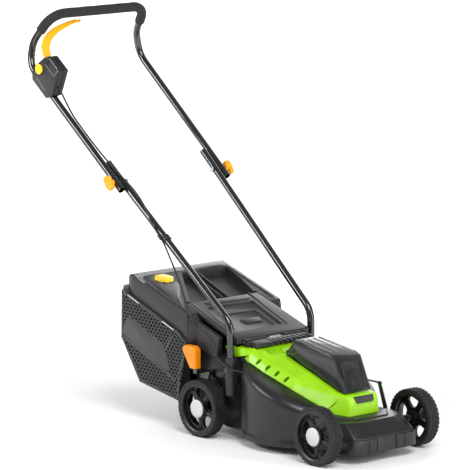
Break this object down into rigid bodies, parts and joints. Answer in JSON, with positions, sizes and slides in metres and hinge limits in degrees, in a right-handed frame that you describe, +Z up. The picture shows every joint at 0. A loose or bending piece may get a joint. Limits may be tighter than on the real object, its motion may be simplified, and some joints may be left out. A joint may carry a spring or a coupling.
{
  "type": "push lawn mower",
  "caption": "Walk-behind battery rotary lawn mower with folding tube handle, linked height-set wheels, hinged lid and flap, and a lift-off rear grass box.",
  "frame": {"origin": "on the ground under the middle of the whole machine", "axes": "+X forward, the way it is pushed, +Y to the operator's left, +Z up"},
  "size_m": [1.208, 0.436, 1.0675],
  "materials": {
    "deck_plastic": "fine moulded grain",
    "bush_plastic": "natural acetal",
    "plated_steel": "zinc plated",
    "black_steel": "black coated",
    "amber_plastic": "satin",
    "motor_metal": "satin",
    "bearing_steel": "ground",
    "blade_steel": "ground",
    "green_plastic": "satin moulded",
    "badge_plastic": "satin",
    "battery_plastic": "fine grain",
    "smoked_clear": "polished smoke tint",
    "controller_plastic": "fine grain",
    "dark_plastic": "satin moulded grain",
    "basket_plastic": "moulded grain",
    "light_trim": "satin",
    "yellow_plastic": "satin",
    "black_paint": "gloss black powder coat",
    "foam": "matt closed-cell foam",
    "knob_plastic": "satin",
    "switch_plastic": "fine grain",
    "cable_rubber": "satin",
    "tyre_rubber": "matt tread",
    "wheel_plastic": "satin",
    "white_cap": "satin white"
  },
  "bodies": {
    "mower": {"deck": "deck_plastic", "axle_bushes": "bush_plastic", "notch_rack": "plated_steel", "motor_can": "motor_metal", "motor_screws": "plated_steel", "motor_bearings": "bearing_steel", "motor_cover": "green_plastic", "badge": "badge_plastic", "battery_cradle": "deck_plastic", "battery_pack": "battery_plastic", "lid_hinge_pin": "plated_steel", "controller": "controller_plastic", "hinge_grille": "dark_plastic", "flap_hinge_rod": "plated_steel", "flap_spring": "plated_steel", "lower_tube_left": "black_paint", "lower_tube_right": "black_paint", "handle_sockets": "dark_plastic", "socket_bolts": "plated_steel", "fold_bolts": "plated_steel", "cable": "cable_rubber", "cable_clip": "switch_plastic"},
    "front_axle": {"front_axle": "black_steel"},
    "rear_axle": {"rear_axle": "black_steel", "height_grip": "amber_plastic"},
    "link_rod": {"link_rod": "black_steel"},
    "cutter": {"rotor_shaft": "bearing_steel", "blade_carrier": "deck_plastic", "cutting_blade": "blade_steel", "blade_bolt": "plated_steel"},
    "battery_lid": {"battery_lid": "smoked_clear"},
    "rear_flap": {"rear_flap": "dark_plastic"},
    "grass_box": {"grass_box_shell": "dark_plastic", "grass_basket": "basket_plastic", "box_latch_bars": "light_trim"},
    "fill_flap": {"fill_flap": "yellow_plastic"},
    "upper_handle": {"upper_tube": "black_paint", "foam_grip": "foam", "switch_box_outer": "switch_plastic", "switch_box_inner": "switch_plastic", "lever_pin": "plated_steel", "microswitch": "controller_plastic"},
    "switch_lever": {"switch_lever": "yellow_plastic"},
    "start_button": {"start_button": "yellow_plastic"},
    "knob_left": {"wing_knob_left": "knob_plastic"},
    "knob_right": {"wing_knob_right": "knob_plastic"},
    "wheel_front_left": {"tyre_front_left": "tyre_rubber", "rim_front_left": "wheel_plastic", "hub_cap_front_left": "white_cap"},
    "wheel_front_right": {"tyre_front_right": "tyre_rubber", "rim_front_right": "wheel_plastic", "hub_cap_front_right": "white_cap"},
    "wheel_rear_left": {"tyre_rear_left": "tyre_rubber", "rim_rear_left": "wheel_plastic", "hub_cap_rear_left": "white_cap"},
    "wheel_rear_right": {"tyre_rear_right": "tyre_rubber", "rim_rear_right": "wheel_plastic", "hub_cap_rear_right": "white_cap"}
  },
  "joints": [
    {"name": "height_setting", "type": "hinge", "parent": "mower", "child": "rear_axle", "pos_m": [0.037, 0, 0.058], "axis": [0, 1, 0], "range_deg": [0, 40]},
    {"name": "front_axle_turn", "type": "hinge", "parent": "mower", "child": "front_axle", "pos_m": [0.481, 0, 0.058], "axis": [0, 1, 0], "range_deg": [0, 40]},
    {"name": "link_rod_level", "type": "hinge", "parent": "rear_axle", "child": "link_rod", "pos_m": [0.001, 0.1305, 0.1567], "axis": [0, 1, 0], "range_deg": [-40, 0]},
    {"name": "wheel_front_left_spin", "type": "hinge", "parent": "front_axle", "child": "wheel_front_left", "pos_m": [0.528, 0.17, 0.075], "axis": [0, 1, 0], "continuous": true},
    {"name": "wheel_front_right_spin", "type": "hinge", "parent": "front_axle", "child": "wheel_front_right", "pos_m": [0.528, -0.17, 0.075], "axis": [0, 1, 0], "continuous": true},
    {"name": "wheel_rear_left_spin", "type": "hinge", "parent": "rear_axle", "child": "wheel_rear_left", "pos_m": [0.084, 0.17, 0.075], "axis": [0, 1, 0], "continuous": true},
    {"name": "wheel_rear_right_spin", "type": "hinge", "parent": "rear_axle", "child": "wheel_rear_right", "pos_m": [0.084, -0.17, 0.075], "axis": [0, 1, 0], "continuous": true},
    {"name": "cutter_spin", "type": "hinge", "parent": "mower", "child": "cutter", "pos_m": [0.304, 0, 0.06], "axis": [0, 0, 1], "continuous": true},
    {"name": "lid_hinge", "type": "hinge", "parent": "mower", "child": "battery_lid", "pos_m": [0.269, 0, 0.2345], "axis": [0, -1, 0], "range_deg": [0, 75]},
    {"name": "flap_hinge", "type": "hinge", "parent": "mower", "child": "rear_flap", "pos_m": [0.176, 0, 0.254], "axis": [0, 1, 0], "range_deg": [0, 60], "deforming": ["flap_spring"]},
    {"name": "grass_box_lift_off", "type": "slide", "parent": "mower", "child": "grass_box", "axis": [-0.9781, 0, 0.2079], "range_m": [0, 0.3]},
    {"name": "fill_flap_hinge", "type": "hinge", "parent": "grass_box", "child": "fill_flap", "pos_m": [-0.1415, -0.088, 0.36834], "axis": [0, 1, 0], "range_deg": [0, 30]},
    {"name": "handle_fold", "type": "hinge", "parent": "mower", "child": "upper_handle", "pos_m": [-0.242, 0, 0.6334], "axis": [0, 1, 0], "range_deg": [0, 150], "deforming": ["cable"]},
    {"name": "lever_squeeze", "type": "hinge", "parent": "upper_handle", "child": "switch_lever", "pos_m": [-0.512, -0.182, 0.918], "axis": [0, 1, 0], "range_deg": [0, 10], "stiffness_Nm_per_rad": 1.2, "springref_deg": -8.59},
    {"name": "start_press", "type": "slide", "parent": "upper_handle", "child": "start_button", "axis": [0, 1, 0], "range_m": [0, 0.004], "stiffness_N_per_m": 600, "springref_m": -0.001},
    {"name": "knob_left_turn", "type": "hinge", "parent": "mower", "child": "knob_left", "pos_m": [-0.242, 0.205, 0.6334], "axis": [0, 1, 0], "continuous": true},
    {"name": "knob_right_turn", "type": "hinge", "parent": "mower", "child": "knob_right", "pos_m": [-0.242, -0.205, 0.6334], "axis": [0, 1, 0], "continuous": true}
  ],
  "couplings": [
    {"joint": "front_axle_turn", "follows": "height_setting", "ratio": 1},
    {"joint": "link_rod_level", "follows": "height_setting", "ratio": -1}
  ]
}
